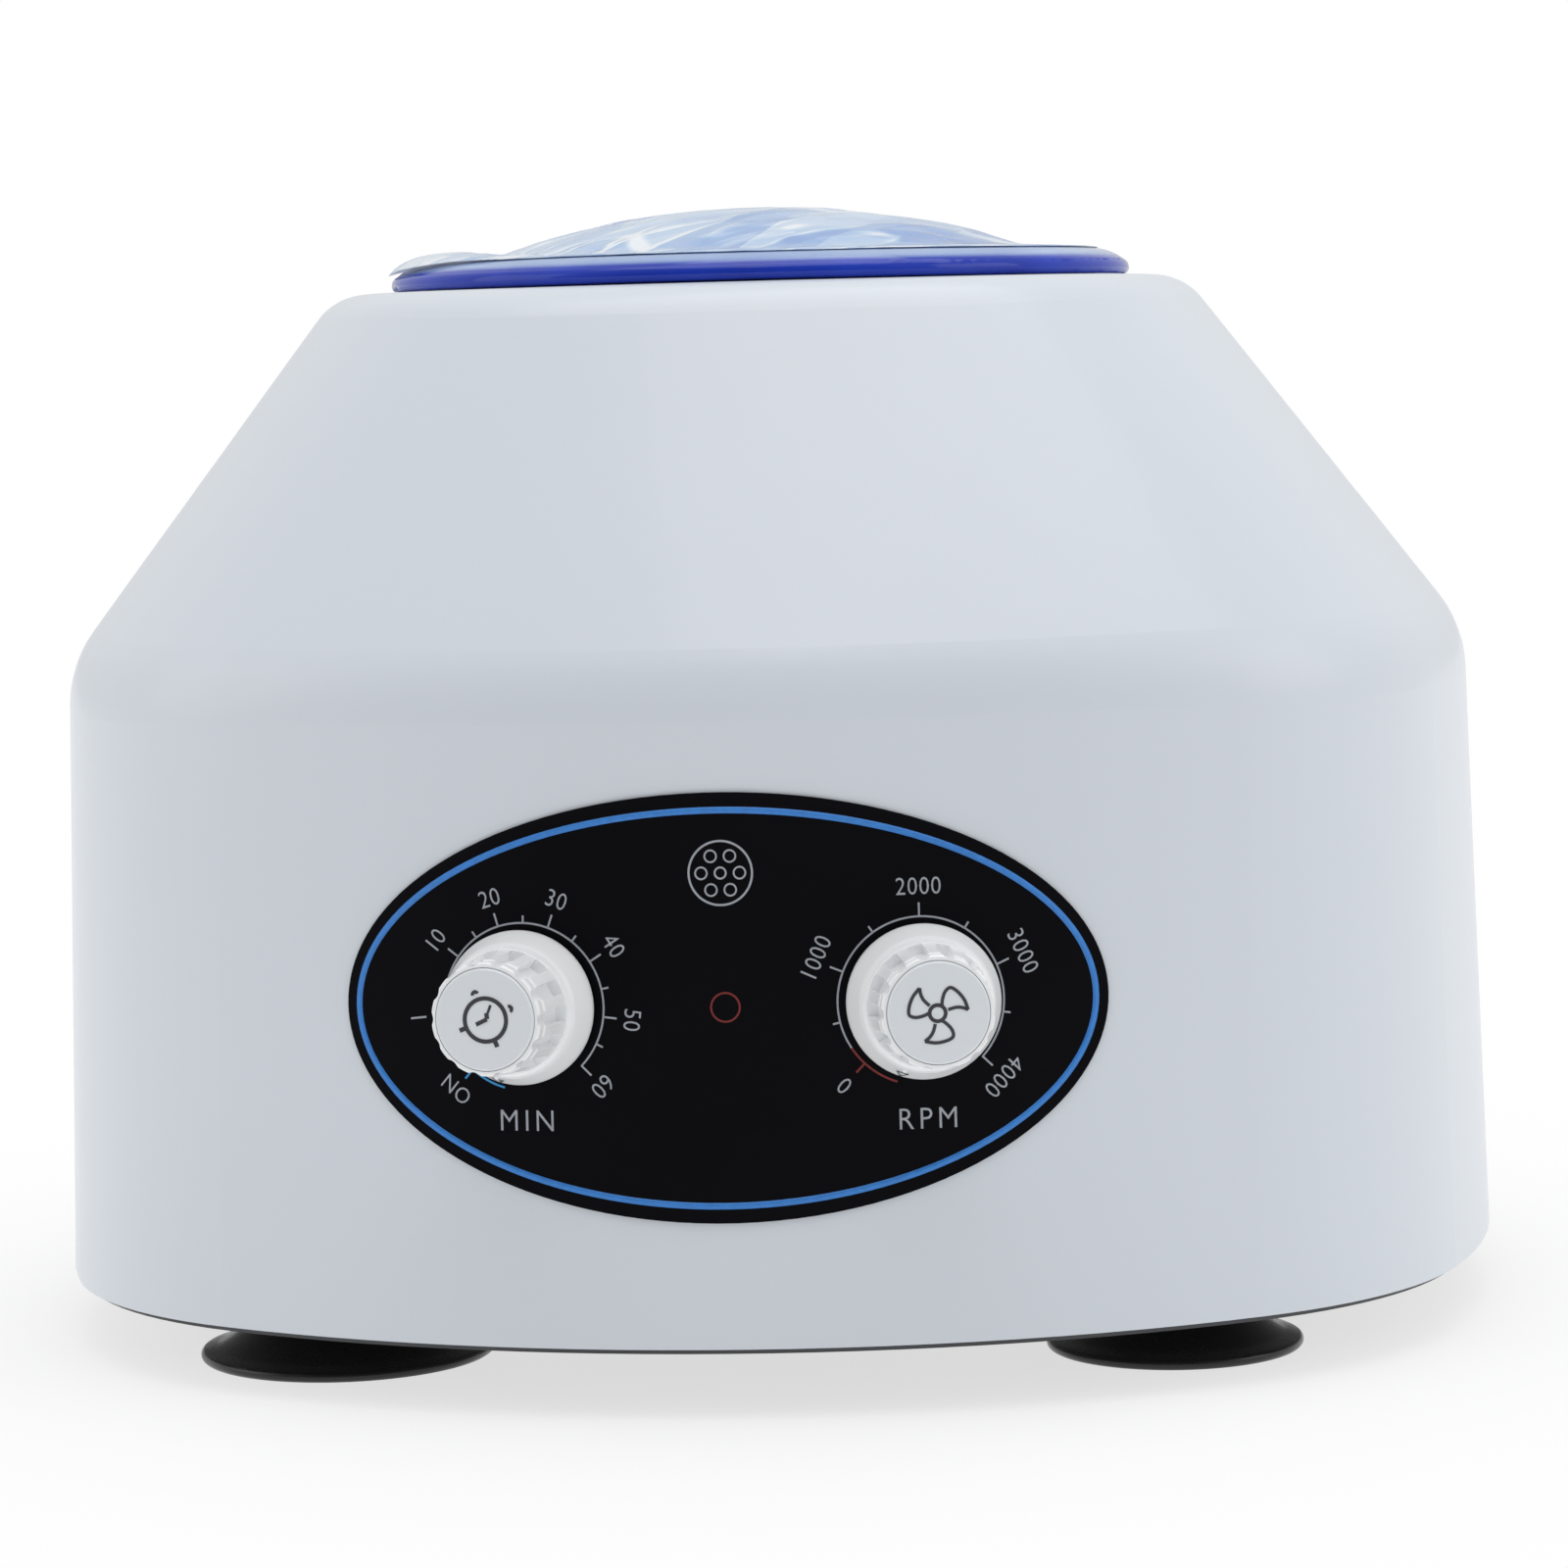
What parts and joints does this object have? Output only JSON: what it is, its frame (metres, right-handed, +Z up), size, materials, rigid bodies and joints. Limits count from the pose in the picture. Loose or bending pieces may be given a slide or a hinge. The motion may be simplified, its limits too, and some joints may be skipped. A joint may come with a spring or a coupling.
{
  "type": "bench-top tube centrifuge",
  "caption": "Small bench-top tube centrifuge with a domed see-through lid hinged over an angled rotor, an oval control panel with two knobs, and suction feet.",
  "frame": {"origin": "on the table under the middle of the bounding box", "axes": "+Z up, the control panel faces -Y, +X to the right as seen from the front; the rotor axis is 7.96 mm behind the origin"},
  "size_m": [0.256, 0.2517, 0.1954],
  "materials": {
    "shell_plastic": "satin off-white, slightly blue",
    "base_plastic": "matt black",
    "foot_rubber": "soft black",
    "screw_steel": "zinc plated",
    "liner_aluminium": "spun, satin",
    "seal_rubber": "soft black",
    "lid_clear_blue": "clear blue plastic",
    "lid_film": "thin clear film",
    "rotor_plastic": "moulded light grey",
    "sleeve_plastic": "white",
    "shaft_steel": "ground",
    "motor_steel": "grey zinc",
    "cap_aluminium": "die cast",
    "bush_bronze": "sintered bronze",
    "lamination_steel": "stacked sheets",
    "copper_wire": "enamelled copper",
    "commutator_copper": "bright copper",
    "brush_brass": "brass",
    "carbon": "dark graphite",
    "fan_plastic": "black",
    "damper_rubber": "black",
    "label_black": "printed black film",
    "knob_white": "white",
    "cap_grey": "light grey",
    "movement_steel": "plated sheet",
    "board_green": "solder mask",
    "component_black": "moulded",
    "heat_sink": "black anodised",
    "inlet_black": "moulded black",
    "pin_brass": "nickel plated",
    "rocker_black": "moulded black",
    "fuse_glass": "glass tube"
  },
  "bodies": {
    "housing": {"base_plate": "base_plastic", "base_screws": "screw_steel", "board_components": "component_black", "board_heat_sink": "heat_sink", "board_screws": "screw_steel", "brush_holders": "brush_brass", "carbon_brushes": "carbon", "chamber_liner": "liner_aluminium", "chamber_seal": "seal_rubber", "control_board": "board_green", "control_label": "label_black", "damper_bolts": "screw_steel", "field_coils": "copper_wire", "foot_screws": "screw_steel", "hinge_bracket": "shell_plastic", "hinge_pin": "shaft_steel", "hinge_screws": "screw_steel", "housing_shell": "shell_plastic", "inlet_pins": "pin_brass", "inlet_screws": "screw_steel", "liner_screws": "screw_steel", "lower_bush": "bush_bronze", "motor_bottom_cap": "cap_aluminium", "motor_can": "motor_steel", "motor_mount": "movement_steel", "motor_top_cap": "cap_aluminium", "power_inlet": "inlet_black", "rubber_dampers": "damper_rubber", "speed_nut": "screw_steel", "speed_potentiometer": "movement_steel", "speed_washer": "screw_steel", "stator_laminations": "lamination_steel", "suction_foot_front_left": "foot_rubber", "suction_foot_front_right": "foot_rubber", "suction_foot_rear_left": "foot_rubber", "suction_foot_rear_right": "foot_rubber", "timer_movement": "movement_steel", "timer_nut": "screw_steel", "timer_washer": "screw_steel", "upper_bush": "bush_bronze"},
    "lid": {"lid_cover": "lid_clear_blue", "lid_film": "lid_film"},
    "rotor": {"rotor_head": "rotor_plastic", "tube_sleeves": "sleeve_plastic", "rotor_nut": "shaft_steel", "motor_shaft": "shaft_steel", "armature_core": "lamination_steel", "armature_windings": "copper_wire", "commutator": "commutator_copper", "cooling_fan": "fan_plastic"},
    "timer_control": {"timer_knob": "knob_white", "timer_knob_cap": "cap_grey", "timer_shaft": "shaft_steel"},
    "speed_control": {"speed_knob": "knob_white", "speed_knob_cap": "cap_grey", "speed_shaft": "shaft_steel"},
    "power_switch": {"switch_rocker": "rocker_black"},
    "fuse_holder": {"fuse_drawer": "inlet_black", "fuse": "fuse_glass"}
  },
  "joints": [
    {"name": "lid_hinge", "type": "hinge", "parent": "housing", "child": "lid", "pos_m": [0, 0.08096, 0.1863], "axis": [-1, 0, 0], "range_deg": [0, 100]},
    {"name": "rotor_spin", "type": "hinge", "parent": "housing", "child": "rotor", "pos_m": [0, 0.00796, 0.1], "axis": [0, 0, 1], "continuous": true},
    {"name": "timer_turn", "type": "hinge", "parent": "housing", "child": "timer_control", "pos_m": [-0.0321, -0.10596, 0.0667], "axis": [0.1835, 0.9826, -0.0291], "range_deg": [0, 300]},
    {"name": "speed_turn", "type": "hinge", "parent": "housing", "child": "speed_control", "pos_m": [0.0321, -0.10596, 0.0667], "axis": [-0.1835, 0.9826, -0.0291], "range_deg": [0, 294]},
    {"name": "switch_rock", "type": "hinge", "parent": "housing", "child": "power_switch", "pos_m": [0, 0.11796, 0.073], "axis": [-1, 0, 0], "range_deg": [0, 16]},
    {"name": "fuse_drawer_slide", "type": "slide", "parent": "housing", "child": "fuse_holder", "axis": [0, 1, 0], "range_m": [0, 0.014]}
  ]
}
